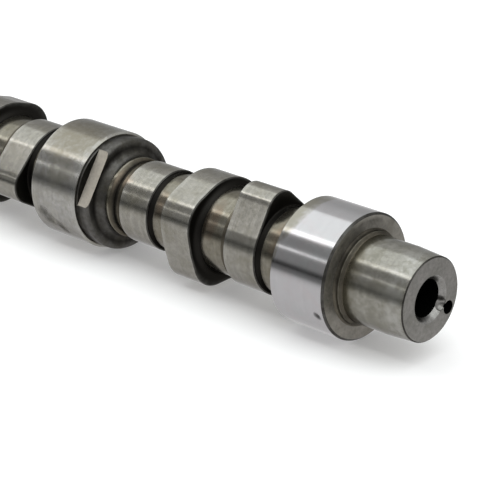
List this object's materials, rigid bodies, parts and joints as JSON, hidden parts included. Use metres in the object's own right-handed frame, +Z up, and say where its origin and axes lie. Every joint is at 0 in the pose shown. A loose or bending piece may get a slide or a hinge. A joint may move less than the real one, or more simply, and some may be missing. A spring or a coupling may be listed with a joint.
{
  "type": "camshaft",
  "caption": "Lying one-piece camshaft with ground round journals, valve lobes, low three-nosed middle lobes, and a stepped drive nose with a blind hole and a dowel hole.",
  "frame": {"origin": "centre of the front bearing journal, on the shaft's axis", "axes": "+X along the shaft's axis towards the drive nose; +Z up, with angles across the shaft counted from +Y towards +Z"},
  "size_m": [0.6361, 0.0538, 0.054],
  "materials": {
    "ground_steel": "ground and partly polished steel, dark forged faces between"
  },
  "bodies": {
    "root": {"camshaft": "ground_steel"}
  },
  "joints": []
}
